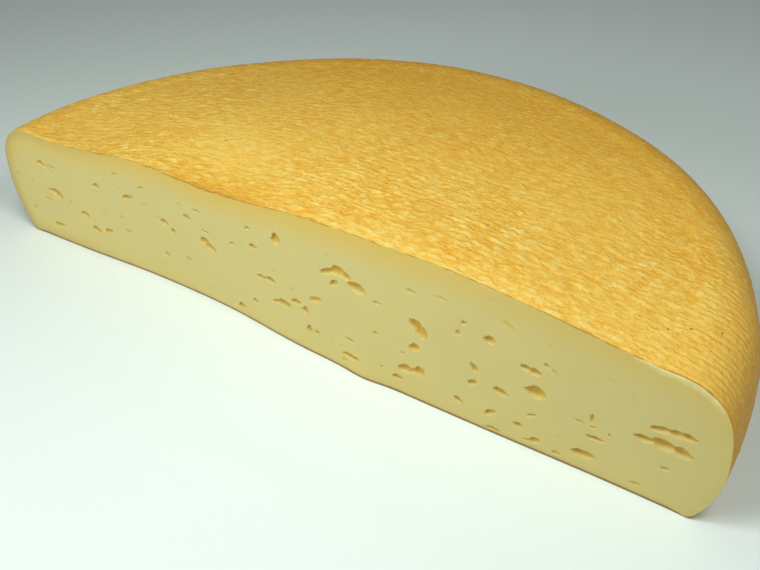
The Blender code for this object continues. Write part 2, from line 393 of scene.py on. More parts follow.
def mark_zone(x, y):
    """How strongly the cloth has marked the rind at its unfolded point (x, y)."""
    zone = MARKED + MARKED_SPREAD * noise.noise(Vector((x, y, 11.0)) / MARKED_SIZE)
    zone += eased(x, *STRONGER_RIGHT) + patch(x, y, *STRONGER_PATCH)
    zone -= patch(x, y, *RUBBED_PATCH) + eased(y, *FAINTER_BEHIND)
    return min(max(zone, LEAST_MARKED), MOST_MARKED) * (1 - eased(hypot(x, y), *FAINTER_SIDE))


def streaks(size, a, b, layer):
    """Noise of a different size along and across the rows."""
    along, across = size
    return noise.noise(Vector((a / along, b / across, layer)))


def rind_relief(x, y, a, b):
    """(height, pigment) of the rind at its point (x, y), where the cloth's point (a, b) lay. The pigment
    has some painted light in the pale band behind the cut.
    """
    zone = mark_zone(x, y)
    clean = eased(x, *CLEAN_FROM)
    loose = 1 - CLEAN_SMOOTHNESS * clean
    marks = mark_height(*rows(a, b, clean), clean) - 0.5
    lump = LUMPS_SHARE * noise.noise(Vector((x, y, 31.0)) / LUMPS_SIZE)
    grain = GRAIN_SHARE * noise.noise(Vector((x, y, 21.0)) / GRAIN_SIZE)
    wrinkle = (WRINKLE_SHARE + WRINKLE_OF_MARKED * zone) * streaks(WRINKLE_SIZE, a, b, 3.0)
    rough = wrinkle + zone * lump + grain
    height = MEAN_HEIGHT + MARK_HEIGHT * zone * marks + loose * rough
    height += eased(hypot(x, y), *SHOULDER_RISE)
    pigment = MEAN_PIGMENT + PIGMENT_OF_HEIGHT * (height - MEAN_HEIGHT)
    pigment += loose * (STREAK_SHARE * streaks(STREAK_SIZE, a, b, 55.0) + lump)
    # the pale band behind the cut, partly painted light
    pigment += LIT_PALE_EDGE_STRENGTH * hump(y, *LIT_PALE_EDGE) * stretch(x, *LIT_PALE_EDGE_STRETCH)
    pigment -= patch(x, y, *DARK_PATCH)
    return height, pigment


def rind_point(x, y, height):
    """Where the rind's unfolded point (x, y) lies, pressed in by what its height lacks, and how far."""
    arc, angle = hypot(x, y), atan2(y, x)
    radius, z = on_profile(arc)
    out, up = profile_normal(arc)
    place = uneven(radius * cos(angle), radius * sin(angle), z)
    edge = edge_shape(x)
    near = max(1 - y / edge.rind_reach, 0.0)
    full = 1 - END_SMOOTHNESS * near * eased(abs(x), *END_FROM)
    inward = RELIEF * (1 - min(max(height, 0.0), 1.0)) * full + LEAST_INWARD
    inward += edge.down * near**2
    place.y += edge.back * near
    return place - inward * Vector((out * cos(angle), out * sin(angle), up)), inward


def unfolded_points():
    """The rind's points in the plane: the cut's line, the foot's arc, and the cloth's lattice."""
    line = [(arc, 0.0) for arc in LINE_ARCS]
    steps = ceil(pi * BASE_RADIUS / EDGE_STEP)
    arc = [(SIDE_END * cos(pi * k / steps), SIDE_END * sin(pi * k / steps)) for k in range(1, steps)]
    beside = [(x - 0.5 * EDGE_STEP, LINE_REACH) for x, _ in line[1:-2]]
    places = [(x, y, *cloth_place(x, y)) for x, y in line + arc + beside]
    across_step = ROW / STEPS_ACROSS_ROW
    reach_a = ceil((SIDE_END + DRIFT_MARGIN) / ALONG_STEP)
    reach_b = ceil((SIDE_END + LEAN_MARGIN) / across_step)
    for j in range(-ROWS_BEFORE_CUT, reach_b):
        for i in range(-reach_a, reach_a):
            a, b = (i + 0.5 * (j % 2)) * ALONG_STEP, j * across_step
            if hypot(a, b) > SIDE_END + LEAN_MARGIN:
                continue
            shift = cloth_drift(a, b)
            x, y = a + shift[0], b + shift[1]
            if y > LINE_REACH + 0.5 * across_step and hypot(x, y) < SIDE_END - 0.6 * EDGE_STEP:
                places.append((x, y, a, b))
    return places, len(arc)


# ---- meshes
def triangles(points, outline):
    """Triangles over flat points, inside the outline, which is a loop of their numbers."""
    flat = [Vector((x, y)) for x, y in points]
    _, _, faces, origin, _, _ = delaunay_2d_cdt(flat, [], [outline], INSIDE_ONLY, SAME_POINT)
    return [[origin[corner][0] for corner in face] for face in faces]


def hex_points(step, width, low, high):
    """Points of a triangular lattice over a wide strip."""
    rise = step * sqrt(0.75)
    found = []
    for j in range(ceil((high - low) / rise) + 1):
        for i in range(-ceil(width / step), ceil(width / step) + 1):
            found.append(((i + 0.5 * (j % 2)) * step, low + j * rise))
    return found


class Shell:
    """The points and faces of a piece as it grows, with the values that its looks need."""

    def __init__(self, *names):
        self.places, self.faces = [], []
        self.values = {name: [] for name in names}

    def add(self, place, **given):
        self.places.append(place)
        for name, numbers in self.values.items():
            numbers.append(given.get(name, 0.0))
        return len(self.places) - 1

    def join_rings(self, ring, inner):
        for k in range(len(ring)):
            after = (k + 1) % len(ring)
            self.faces.append([ring[k], ring[after], inner[after], inner[k]])

    def fill(self, numbers, flat, outline_count):
        """Fills the outline, which the first of the flat points make, over all the points."""
        found = triangles(flat, list(range(outline_count)))
        self.faces += [[numbers[k] for k in face] for face in found]


def make_mesh(name, shell, material):
    """A piece from a shell, whose places are in millimetres from the wheel's axis."""
    mesh = bpy.data.meshes.new(name)
    mesh.from_pydata([(p + WHEEL_AXIS) * MM for p in shell.places], [], shell.faces)
    bm = bmesh.new()
    bm.from_mesh(mesh)
    bmesh.ops.recalc_face_normals(bm, faces=bm.faces)
    bm.to_mesh(mesh)
    bm.free()
    for key, numbers in shell.values.items():
        layer = mesh.attributes.new(key, "FLOAT", "POINT")
        layer.data.foreach_set("value", np.array(numbers, np.float32))
    mesh.materials.append(material)
    mesh.shade_smooth()
    mesh.set_sharp_from_angle(angle=SHARP_ANGLE)
    made = bpy.data.objects.new(name, mesh)
    bpy.context.scene.collection.objects.link(made)
    return made


# ---- the body
Spot = namedtuple("Spot", "place way edge")  # (x, z), the direction outward and the edge's shape
DOWN = (0.0, -1.0)


def cut_outline():
    """Spots round the cut: over the top from the right foot to the left one, then back along the base."""
    spots = []
    for k, arc in enumerate(LINE_ARCS):
        side = 1 if arc >= 0 else -1
        radius, z = on_profile(abs(arc))
        out, up = profile_normal(abs(arc))
        way = DOWN if k in (0, LINE_COUNT - 1) else (side * out, up)
        spots.append(Spot((side * radius, z), way, edge_shape(arc)))
    steps = ceil(BASE_RADIUS / EDGE_STEP)
    for k in range(1, steps):
        x = BASE_RADIUS * (2 * k / steps - 1)
        worn = min((BASE_RADIUS - abs(x)) / BASE_EASE, 1.0)
        edge = Edge(BASE_EDGE.down * worn, BASE_EDGE.back * worn, BASE_EDGE.cut_reach)
        spots.append(Spot((x, 0.0), DOWN, edge))
    return spots


def inset_place(spot, inset):
    """The flat (x, z) at this distance inside the outline."""
    (x, z), (out, up) = spot.place, spot.way
    return x - inset * out, z - inset * up


def shrunk_place(spot, inset):
    """The flat (x, z) of an outline that is smaller by this much all round."""
    x, z = spot.place
    middle = 0.5 * HEIGHT
    return x * (1 - inset / WHEEL_RADIUS), middle + (z - middle) * (1 - inset / middle)


def line_strength(x, z, lip):
    """How dark the line on the cut's edge is. About 1 is the line's own colour, and over 2 a speck's. Along
    the base it is partly painted contact shadow.
    """
    if z > BASE_LINE_TOP:
        middle, spread, size = TOP_LINE
        torn = max(middle + spread * noise.noise(Vector((x / size, z / size, 7.0))), 0.0)
        # painted shade of the crease on the line
        torn += CREASE_SHADE_ON_LINE * CREASE_SHADE * hump(x, *CREASE) + LIP_LINE * lip
        torn += DARK_EDGE_STRENGTH * hump(x, *DARK_EDGE)
        return torn * (1 - eased(x, *LEFT_FADE)) * (1 - eased(x, *RIGHT_FADE))
    if any(abs(x - place) < 0.5 * length for place, length in FLECKS):
        return FLECK_DARKNESS
    # along the base: partly painted contact shadow
    middle, spread, size = LOW_LINE_AND_SHADOW
    return middle + spread * noise.noise(Vector((x / size, 0.0, 17.0)))


def add_rind(shell, outline):
    """The rind over the top and down the side: how far the cut's line is pressed in, and the foot."""
    unfolded, arc_count = unfolded_points()
    pressed = []
    for k, (x, y, a, b) in enumerate(unfolded):
        height, pigment = rind_relief(x, y, a, b)
        place, inward = rind_point(x, y, height)
        along, across = rows(a, b, eased(x, *CLEAN_FROM))
        marks = {"along": along, "across": across, "marked": mark_zone(x, y), "pigment": pigment}
        if k < LINE_COUNT:
            pressed.append(inward)
            line = line_strength(place.x, place.z, outline[k].edge.lip)
            shell.add(place, cut=ON_THE_EDGE, line=line, rim=inward, **marks)
        else:
            # painted shade in the crease, and the darkened stretch of the edge
            dark = CREASE_SHADE * hump(x, *CREASE) * max(1 - y / CREASE_SHADE_REACH, 0.0)
            dark += DARK_EDGE_STRENGTH * hump(x, *DARK_EDGE) * hump(y, 0.0, DARK_EDGE_REACH)
            shell.add(place, line=dark, **marks)
    arc = [LINE_COUNT + k for k in range(arc_count)]
    loop = list(range(LINE_COUNT)) + arc[::-1]
    shell.faces += triangles([(x, y) for x, y, _, _ in unfolded], loop)
    foot = [0] + arc + [LINE_COUNT - 1]
    for k in foot:
        shell.places[k].z = 0.0
    return pressed, foot


def add_base(shell, outline, foot):
    """The flat base, and the numbers of its places along the cut."""
    numbers = list(foot)
    for spot in outline[LINE_COUNT:]:
        x, _ = spot.place
        place = uneven(x, 0.0, 0.0)
        place.y += edge_bend(spot.edge, 0.0)
        line = line_strength(x, 0.0, 0.0)
        numbers.append(shell.add(place, pigment=MEAN_PIGMENT, cut=ON_THE_EDGE, line=line))
    loop_count = len(numbers)
    for x, y in hex_points(BASE_STEP, BASE_RADIUS, BASE_STEP, BASE_RADIUS):
        if hypot(x, y) < BASE_RADIUS - 0.6 * BASE_STEP:
            numbers.append(shell.add(uneven(x, y, 0.0), pigment=MEAN_PIGMENT))
    shell.fill(numbers, [(shell.places[k].x, shell.places[k].y) for k in numbers], loop_count)
    return numbers[len(foot) : loop_count]


def add_ring(shell, outline, insets):
    """A ring of points on the cut at these distances inside the outline."""
    ring = []
    for spot, inset in zip(outline, insets):
        x, z = inset_place(spot, inset)
        place = uneven(x, 0.0, z)
        place.y += edge_bend(spot.edge, inset)
        lip = lip_share(spot.edge, inset)
        ring.append(shell.add(place, pigment=MEAN_PIGMENT, cut=ON_THE_CUT, rim=inset, lip=lip))
    return ring


def add_back(shell, outline, inset, depth):
    """A flat wall behind the cut, and the numbers of its rim."""
    flat = [shrunk_place(spot, inset) for spot in outline]
    ring = []
    for x, z in flat:
        place = uneven(x, 0.0, z)
        place.y += depth
        ring.append(shell.add(place, cut=ON_THE_CUT, rim=inset))
    shell.fill(ring, flat, len(ring))
    return ring


def make_body(material):
    """The half wheel with its rind, and a shallow recess in the cut for the paste."""
    shell = Shell("pigment", "along", "across", "marked", "cut", "line", "rim", "lip")
    outline = cut_outline()
    pressed, foot = add_rind(shell, outline)
    base_line = add_base(shell, outline, foot)
    pressed += [BASE_LINE_AND_SHADOW + spot.edge.down for spot in outline[LINE_COUNT:]]
    rim = list(range(LINE_COUNT)) + base_line
    beside = add_ring(shell, outline, [inward + LINE_REACH for inward in pressed])
    for name in ("along", "across"):
        for k, after in zip(rim, beside):
            shell.values[name][after] = shell.values[name][k]
    inner = add_ring(shell, outline, [RIND_INSET + spot.edge.down for spot in outline])
    back = add_back(shell, outline, RIND_INSET + BACK_INSET, CUT_DEPTH)
    for ring, after in ((rim, beside), (beside, inner), (inner, back)):
        shell.join_rings(ring, after)
    return make_mesh("cheese_body", shell, material)


# ---- the cut face
# The eyes: x and z on the finished cut, length, height, and tilt in degrees if there is any
EYES = (
    (-136.6, 37.4, 5.0, 2.8, 10),
    (-133.4, 36.6, 5.0, 1.8, -20),
    (-131.4, 25.4, 7.0, 3.0, 4),
    (-129.2, 24.2, 4.4, 4.8, -10),
    (-104.5, 36.5, 4.2, 2.5, 10),
    (-86.8, 36.8, 7.0, 2.8, 18),
    (-115.2, 19.3, 5.0, 3.1),
    (-109.8, 13.3, 5.0, 3.6, -10),
    (-102.6, 15.0, 5.0, 2.5, 20),
    (-133.8, 8.1, 6.5, 2.5, 14),
    (-68.2, 31.3, 5.0, 3.1, -10),
    (-63.8, 28.2, 3.2, 2.8),
    (-54.5, 38.4, 4.5, 2.5),
    (-47.0, 30.2, 4.6, 3.9, 30),
    (-44.3, 28.0, 6.2, 3.8, -15),
    (-21.2, 37.4, 4.0, 2.5),
    (-9.5, 45.2, 4.8, 5.6, 20),
    (-18.4, 24.9, 6.0, 2.0, 6),
    (-13.8, 25.4, 4.8, 2.8, -4),
    (-11.6, 16.8, 5.2, 2.0, 16),
    (-7.6, 17.3, 7.4, 3.6, 2),
    (-1.5, 20.8, 6.0, 2.5, 8),
    (2.7, 18.9, 3.4, 3.4, -30),
    (-23.5, 11.4, 3.0, 2.7, 20),
    (-32.0, 5.0, 4.0, 3.4, 20),
    (13.9, 40.4, 8.0, 2.6, 26),
    (18.3, 42.0, 6.4, 4.6, 8),
    (21.8, 41.4, 5.4, 3.4, -18),
    (26.3, 38.2, 7.8, 4.8, -8),
    (16.5, 36.4, 4.6, 2.4, 38),
    (51.1, 32.5, 6.6, 4.8, -32),
    (53.2, 30.4, 6.4, 5.0, -38),
    (50.5, 23.0, 4.6, 3.6, 20),
    (47.4, 12.2, 7.4, 3.8, 12),
    (52.6, 13.3, 5.8, 4.2),
    (43.8, 6.8, 4.6, 2.6),
    (4.4, 11.0, 3.2, 3.6, 10),
    (23.2, 7.2, 7.4, 2.4, -4),
    (79.2, 38.4, 4.7, 3.6, 10),
    (73.9, 25.0, 4.4, 2.7, -60),
    (73.8, 18.3, 4.2, 2.3, 28),
    (68.8, 8.6, 4.0, 2.3, -15),
    (92.7, 33.2, 4.2, 2.6, -8),
    (96.2, 32.9, 5.0, 3.1, 5),
    (97.0, 24.8, 8.2, 5.3),
    (84.6, 19.3, 6.5, 3.1, -5),
    (81.0, 8.8, 5.6, 2.3, 33),
    (91.6, 8.6, 3.8, 2.4, -10),
    (98.0, 4.8, 4.6, 2.8, 25),
    (114.8, 7.8, 9.0, 3.7, 3),
    (118.5, 16.0, 6.6, 2.0),
    (138.6, 30.2, 7.2, 3.0, 14),
    (143.1, 30.8, 6.6, 3.2, 5),
    (147.4, 31.3, 6.2, 3.0, -2),
    (134.4, 24.3, 7.8, 2.8, 6),
    (140.6, 24.8, 8.8, 4.6, 6),
    (146.0, 24.5, 7.6, 4.2, -5),
)
SMALL_EYES = (
    (7.8, 25.7, 6.5, 2.8, 18),
    (23.0, 14.4, 5.2, 1.8, -10),
    (-130.5, 37.5, 6.0, 1.4, -5),
    (-134.0, 25.4, 5.0, 1.4, 14),
    (103.0, 36.0, 3.6, 1.0, -28),
    (95.3, 3.7, 3.6, 1.0, 5),
    (-91.5, 46.2, 3.5, 1.4, 22),
    (-136.7, 20.2, 4.5, 1.5, 5),
    (-90.5, 19.0, 4.5, 1.6, 5),
    (-147.5, 12.5, 2.5, 2.5),
    (-77.7, 44.0, 4.4, 1.4, 22),
    (-48.6, 43.4, 4.5, 1.4, 3),
    (-45.8, 34.9, 4.2, 1.2),
    (-32.2, 34.5, 2.6, 2.0, 20),
    (-22.8, 45.0, 3.0, 2.0, 20),
    (-58.2, 17.2, 3.0, 2.0, -10),
    (-70.0, 14.8, 3.0, 2.6),
    (35.0, 35.3, 3.6, 1.7),
    (49.0, 45.6, 4.5, 1.5, -8),
    (69.5, 41.2, 2.6, 2.2, 30),
    (67.5, 36.3, 2.6, 2.4),
    (45.9, 18.5, 2.0, 1.5),
    (34.5, 22.2, 2.8, 2.2),
    (8.1, 10.8, 2.6, 2.6),
    (26.3, 7.0, 2.6, 2.6),
    (20.8, 4.5, 3.6, 1.2, 8),
    (37.3, 8.8, 1.5, 1.5),
    (100.0, 37.2, 2.8, 1.8, -5),
    (96.3, 14.8, 4.6, 1.3, 22),
    (82.7, 2.2, 6.2, 1.8, 3),
    (106.0, 3.3, 3.6, 1.8, 5),
    (116.8, 23.5, 1.8, 4.0),
    (112.8, 20.5, 4.0, 0.9, 5),
    (117.5, 20.2, 2.4, 1.2, 10),
    (123.3, 19.8, 1.5, 1.3),
    (142.0, 15.8, 3.8, 1.7, 8),
    (133.5, 4.8, 4.6, 1.1, 8),
)
FAINT_EYES = (
    (-149.5, 35.2, 2.5, 1.0, 15),
    (-90.5, 40.2, 4.0, 1.2),
    (-122.0, 29.2, 3.0, 1.0, 20),
    (-122.3, 23.3, 2.0, 2.5),
    (-102.5, 25.0, 4.0, 1.4),
    (-93.0, 25.0, 4.0, 2.5),
    (-153.8, 27.5, 3.0, 2.0),
    (-144.5, 27.2, 2.5, 2.0),
    (-102.5, 11.5, 3.5, 1.2, 20),
    (-109.8, 18.0, 2.5, 1.5),
    (-78.5, 36.0, 4.5, 1.5, 15),
    (-71.5, 32.5, 2.5, 1.5),
    (-57.7, 43.2, 4.0, 2.0),
    (-37.0, 29.3, 2.5, 1.2),
    (-10.0, 50.0, 2.0, 1.2),
    (-11.7, 30.5, 3.0, 1.5, 40),
    (-3.2, 25.8, 3.5, 1.5),
    (-62.0, 18.8, 2.5, 1.5),
    (-74.2, 9.0, 2.0, 1.0),
    (-64.8, 7.2, 3.5, 1.2),
    (-48.5, 6.8, 2.5, 1.0),
    (-39.2, 10.0, 2.0, 1.2),
    (13.8, 47.0, 4.0, 1.2),
    (12.7, 29.5, 1.5, 1.0),
    (60.5, 47.5, 7.0, 2.0),
    (14.2, 10.5, 2.0, 1.0),
    (19.0, 10.2, 2.0, 1.2),
    (79.0, 54.0, 2.0, 1.0),
    (85.5, 47.0, 6.0, 2.0, -20),
    (100.0, 45.0, 1.5, 1.5),
    (121.3, 41.3, 3.0, 1.0),
    (116.0, 39.0, 2.0, 1.0),
    (128.3, 38.8, 2.0, 1.0),
    (129.5, 35.3, 2.0, 0.8),
    (106.5, 10.5, 4.0, 0.8),
    (121.5, 3.3, 4.0, 0.8),
    (144.8, 9.8, 1.5, 1.0),
)
SMALL_SHARE = 0.7  # how deep these are, of an eye's depth
FAINT_SHARE = 0.16
EYE_LEAST_DEPTH = 0.36
EYE_DEPTH_SHARE = 0.17  # of the geometric mean of length and height
EYE_FLOOR = (1.4, 1.8, 4.0)  # how steep it is below, how much more above, and how fast that changes
EYE_RAGGEDNESS = 0.28
EYE_GRAIN = 0.9  # size of the raggedness, in radii of an eye
EYE_FINE_RAGGEDNESS = 0.26
EYE_FINE_GRAIN = 1.2
EYE_FINE_LEAST = 1.6  # half length of the eyes with the fewest fine notches
STAIN_AND_SHADE_SIZE = 1.6  # mean half width from which an eye has its full ochre and painted shade
EYE_REACH = 1.2  # how far round an eye its fine points go
EYE_BOUND = 1.5  # half widths within which an eye's rim stays
FLAT_ROUNDS = 5
CHUNK = 2000  # places measured at a time


def flat_place(x, z):
    """Where on the perfect cut the point is that the real one has at (x, z)."""
    flat_x, flat_z = x, z
    for _ in range(FLAT_ROUNDS):
        place = uneven(flat_x, 0.0, flat_z)
        flat_x, flat_z = flat_x + x - place.x, flat_z + z - place.z
    return flat_x, flat_z


class Eye:
    """One hollow: a ragged arch, deepest near its upper edge, whose floor rises to the lower one."""

    def __init__(self, strength, x, z, length, height, tilt=0):
        self.x, self.z = flat_place(x, z)
        self.half_length, self.half_height = 0.5 * length, 0.5 * height
        self.turn = radians(tilt)
        self.depth = strength * (EYE_LEAST_DEPTH + EYE_DEPTH_SHARE * sqrt(length * height))
        self.strength = strength
        self.seed = Vector((x, 0.0, z)) / self.half_length
        self.peak = 0.2 + 0.3 * noise.noise(self.seed)
        self.skew = 0.5 * noise.noise(self.seed + Vector((9.0, 0.0, 0.0)))
        self.pointed = min(max(0.55 + 0.9 * noise.noise(self.seed + Vector((0.0, 9.0, 0.0))), 0.0), 1.0)

    def local(self, x, z):
        """The place along and up the tilted eye, in its half length and half height."""
        along = cos(self.turn) * (x - self.x) + sin(self.turn) * (z - self.z)
        up = -sin(self.turn) * (x - self.x) + cos(self.turn) * (z - self.z)
        return along / self.half_length, up / self.half_height

    def share(self, x, z):
        """0 in the middle and 1 on the rim."""
        along, up = self.local(x, z)
        along = (along - self.skew * max(up, 0.0)) * (1 + self.peak * up)
        round_reach = max(hypot(along, up), LEAST)
        lens_reach = 0.5 * (abs(up) + hypot(up, 2 * along))
        way = Vector((along, 0.0, up)) / round_reach
        ragged = noise.noise(way / EYE_GRAIN + self.seed)
        fine = noise.noise(way * max(self.half_length, EYE_FINE_LEAST) * EYE_FINE_GRAIN + self.seed)
        reach = round_reach + self.pointed * (lens_reach - round_reach)
        return reach / (1 + EYE_RAGGEDNESS * ragged + EYE_FINE_RAGGEDNESS * fine)

    def inner_share(self, x, z, share):
        """The share without its raggedness, which stays only close to the rim."""
        smooth = min(hypot(*self.local(x, z)), 1.0)
        return smooth + (share - smooth) * min(share, 1.0) ** 6

    def hollow(self, x, z, share):
        """How deep the hollow is at this place."""
        below, more, change = EYE_FLOOR
        steep = below + more / (1 + exp(-change * self.local(x, z)[1]))
        return self.depth * (1 - self.inner_share(x, z, share) ** steep)

    def stain_and_shade(self, x, z, share):
        """How ochre and shaded the hollow looks at this place, from 0 to 1: partly the eye's own ochre,
        partly painted shade and warm bounce light, strongest under the upper rim. It fades out towards the
        lower rim.
        """
        up = self.local(x, z)[1]
        soft = eased(up, 0.2, -0.6)
        filled = 0.2 + 0.8 * eased(up, -0.95, 0.4)
        full = min(max(sqrt(self.half_length * self.half_height) / STAIN_AND_SHADE_SIZE, 0.7), 1.0)
        share = self.inner_share(x, z, share)
        rim = eased(share, 1.04 + 0.15 * soft, 0.5 + 0.34 * self.strength - 0.25 * soft)
        return filled * rim * full * (0.4 + 0.6 * self.strength)


def eye_points(eyes):
    """Fine points in and round the eyes, with the depth there, and the stain with its painted shade."""
    rise = EYE_STEP * sqrt(0.75)
    fine = {}
    for eye in eyes:
        reach = EYE_BOUND * max(eye.half_length, eye.half_height) + EYE_REACH
        for j in range(floor((eye.z - reach) / rise), ceil((eye.z + reach) / rise) + 1):
            for i in range(floor((eye.x - reach) / EYE_STEP), ceil((eye.x + reach) / EYE_STEP) + 1):
                x, z = (i + 0.5 * (j % 2)) * EYE_STEP, j * rise
                share = eye.share(x, z)
                if hypot(x - eye.x, z - eye.z) * (1 - 1 / max(share, LEAST)) < EYE_REACH:
                    fine.setdefault((i, j), []).append((share, eye))
    found = []
    for (i, j), near in fine.items():
        x, z = (i + 0.5 * (j % 2)) * EYE_STEP, j * rise
        share, eye = min(near, key=lambda pair: pair[0])
        to_rim = hypot(x - eye.x, z - eye.z) * abs(1 - 1 / max(share, LEAST))
        if to_rim < 0.5 * EYE_STEP:
            x, z = eye.x + (x - eye.x) / share, eye.z + (z - eye.z) / share
            if any(other is not eye and other.share(x, z) < 1 for _, other in near):
                continue
            near = [(1.0, eye)]
        depth = sqrt(sum(each.hollow(x, z, s) ** 2 for s, each in near if s < 1))
        stain_and_shade = max(each.stain_and_shade(x, z, s) for s, each in near)
        found.append((x, z, depth, stain_and_shade))
    return found


def face_points():
    """Points of the cut face, fine round the eyes, each with its depth and its stain with painted shade."""
    tables = ((1.0, EYES), (SMALL_SHARE, SMALL_EYES), (FAINT_SHARE, FAINT_EYES))
    found = eye_points([Eye(strength, *row) for strength, table in tables for row in table])
    cells = {(floor(x / EYE_STEP), floor(z / EYE_STEP)) for x, z, _, _ in found}
    near = range(-2, 3)
    for x, z in hex_points(FACE_STEP, WHEEL_RADIUS, FACE_LOWEST, HEIGHT):
        i, j = floor(x / EYE_STEP), floor(z / EYE_STEP)
        if all((i + di, j + dj) not in cells for di in near for dj in near):
            found.append((x, z, 0.0, 0.0))
    return found


def nearest(points, ring):
    """How far each place is from the ring's nearest point, and which that is."""
    places, corners = np.array(points), np.array(ring)
    gaps, numbers = [], []
    for start in range(0, len(places), CHUNK):
        squares = ((places[start : start + CHUNK, None, :] - corners) ** 2).sum(2)
        numbers.append(squares.argmin(1))
        gaps.append(np.sqrt(squares.min(1)))
    return np.concatenate(gaps), np.concatenate(numbers)


def inside(points, outline):
    """Whether each place is inside the outline."""
    places = np.array(points)
    crossings = np.zeros(len(places), int)
    for (x0, z0), (x1, z1) in zip(outline, outline[1:] + outline[:1]):
        spans = (places[:, 1] >= min(z0, z1)) & (places[:, 1] < max(z0, z1))
        if z0 != z1:
            meets = x0 + (places[:, 1] - z0) * (x1 - x0) / (z1 - z0)
            crossings += spans & (meets > places[:, 0])
    return crossings % 2 == 1


def face_wave(x, z, rim):
    """How far the paste's surface swells, which it doesn't on its rim."""
    wave = FACE_WAVE * noise.noise(Vector((x, 0.0, z)) / FACE_WAVE_SIZE)
    wave += FACE_GRAIN * noise.noise(Vector((x, 5.0, z)) / FACE_GRAIN_SIZE)
    return wave * min(rim / FACE_WAVE_FADE, 1)


def make_paste(material):
    """The paste behind the cut, as a closed piece as deep as the recess."""
    outline = cut_outline()
    insets = [RIND_INSET - BODY_OVERLAP + spot.edge.down for spot in outline]
    ring = [inset_place(spot, inset) for spot, inset in zip(outline, insets)]
    points = face_points()
    flat = [(x, z) for x, z, _, _ in points]
    to_ring, _ = nearest(flat, ring)
    keep = inside(flat, ring) & (to_ring > 0.45 * EDGE_STEP)
    points = [(*place, 0.0, 0.0) for place in ring] + [p for p, good in zip(points, keep) if good]
    flat = [(x, z) for x, z, _, _ in points]
    to_rim, numbers = nearest(flat, [spot.place for spot in outline])
    shell = Shell("hollow", "rim", "lip")
    for (x, z, depth, stain_and_shade), rim, number in zip(points, to_rim, numbers):
        edge = outline[number].edge
        place = uneven(x, 0.0, z)
        place.y += depth + edge_bend(edge, rim) + face_wave(x, z, rim)
        shell.add(place, hollow=stain_and_shade, rim=rim, lip=lip_share(edge, rim))
    front = list(range(len(ring)))
    shell.fill(list(range(len(points))), flat, len(ring))
    back = add_back(shell, outline, RIND_INSET + BACK_INSET - BODY_OVERLAP, CUT_DEPTH + BODY_OVERLAP)
    shell.join_rings(front, back)
    return make_mesh("cheese_paste", shell, material)


# ---- materials
# Colours, as linear red, green and blue
PASTE_WARM = (0.598, 0.494, 0.187)
PASTE_COOL = (0.572, 0.473, 0.177)
PASTE_RIM = (0.63, 0.437, 0.09)
# painted shade where the cut's far left edge turns away from the light
PASTE_TURNED_SHADE = (0.46, 0.35, 0.11)
PASTE_LIP = (0.70, 0.63, 0.31)
# the eyes' ochre, partly their own and partly painted shade and warm bounce light under the upper rim
EYE_PALE = (0.57, 0.392, 0.062)
EYE_DEEP = (0.60, 0.345, 0.033)
RIND_STOPS = ((0.1, (0.745, 0.395, 0.04)), (0.5, (0.79, 0.50, 0.089)), (0.9, (0.82, 0.605, 0.177)))
# painted shade: the rind turns darker and more orange towards the back of the top, where less light reaches
RIND_FAR_SHADE = (0.93, 0.80, 0.49)
# painted shade: the rind turns darker and browner down the side, where less light falls
RIND_SIDE_SHADE = (0.82, 0.66, 0.31)
RIND_PATCH = (0.97, 0.86, 0.72)
RIND_PALE = (0.81, 0.63, 0.2)
RIND_GROOVE = (0.70, 0.325, 0.024)
# the line on the cut's edge and its specks, which along the base also paint contact shadow
RIND_LINE = (0.34, 0.15, 0.015)
SPECK = (0.14, 0.075, 0.022)

# Where the colours change, from here to there in millimetres
OCHRE_RIM = (12.0, 2.0)  # inside the outline of the cut
OCHRE_HEIGHT = (25.0, 50.0)
OCHRE_RIGHT = (40.0, 80.0)
# how far inside the outline, and where along x, the painted shade at the left edge lies
TURNED_SHADE_RIM = (6.0, 0.0)
TURNED_SHADE_LEFT = (-80.0, -150.0)
# along y, over which the painted shade towards the back sets in
FAR_SHADE_SPAN = (-40.0, 41.0)
# heights over which the painted shade down the side sets in
SIDE_SHADE_SPAN = (53.0, 38.0)
SPECK_RIM = (0.7, 0.3)
SPECKS = (  # on the unfolded rind
    (-59.3, 31.8),
    (59.0, 33.0),
    (130.2, 17.8),
    (135.9, 22.5),
    (144.3, 27.1),
)

# Sizes of what the materials add, in millimetres
PASTE_CLOUD = 30.0
PASTE_GRAIN = 1.4
PASTE_GRAIN_DEPTH = 0.05
PASTE_GLOW = 1.6  # how far light goes into the paste
LIP_SHRED = 2.2
EYE_BLOTCH = 1.2
GROOVE_WANDER = 1.6
GROOVE_GAP = 3.6
GROOVE_DEPTH = 0.14
RIND_CLOUD = 24.0
RIND_GRAIN = 1.3
RIND_GRAIN_DEPTH = 0.4
GLOSS_CLOUD = 3.0


def new_material(name):
    made = bpy.data.materials.new(name)
    made.use_nodes = True
    tree = made.node_tree
    return made, tree, tree.nodes["Principled BSDF"]


def attribute(tree, name):
    node = tree.nodes.new("ShaderNodeAttribute")
    node.attribute_name = name
    return node.outputs["Fac"]


def object_place(tree):
    """The place on the surface, in metres in the frame."""
    return tree.nodes.new("ShaderNodeTexCoord").outputs["Object"]


def noise_node(tree, size, detail=2.0):
    """Noise whose features are about this many millimetres wide."""
    node = tree.nodes.new("ShaderNodeTexNoise")
    node.inputs["Scale"].default_value = 1 / (size * MM)
    node.inputs["Detail"].default_value = detail
    tree.links.new(object_place(tree), node.inputs["Vector"])
    return node.outputs["Fac"]


